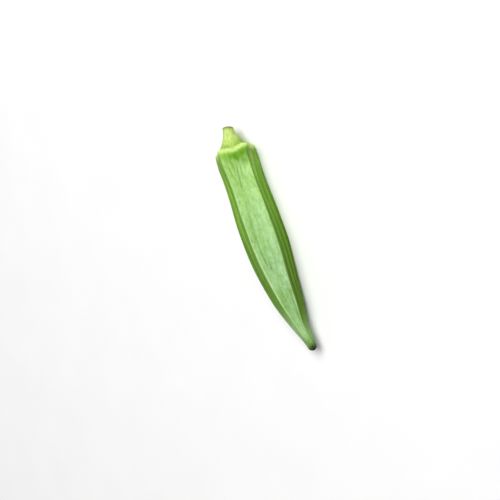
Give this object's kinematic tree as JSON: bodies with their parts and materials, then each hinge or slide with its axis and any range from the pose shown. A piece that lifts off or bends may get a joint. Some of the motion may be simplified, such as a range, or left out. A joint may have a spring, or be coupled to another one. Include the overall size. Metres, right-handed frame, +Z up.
{
  "type": "okra pod",
  "caption": "Whole fresh okra pod with a cut stalk, scar ring, ridged tapering capsule and pointed beak, lying on its side.",
  "frame": {"origin": "centre of the pod's footprint, at the surface it lies on", "axes": "+X along the pod towards the cut stalk, -X towards the beak, +Z up"},
  "size_m": [0.106, 0.0212, 0.0187],
  "materials": {
    "pod_skin": "matte"
  },
  "bodies": {
    "root": {"okra_pod": "pod_skin"}
  },
  "joints": []
}
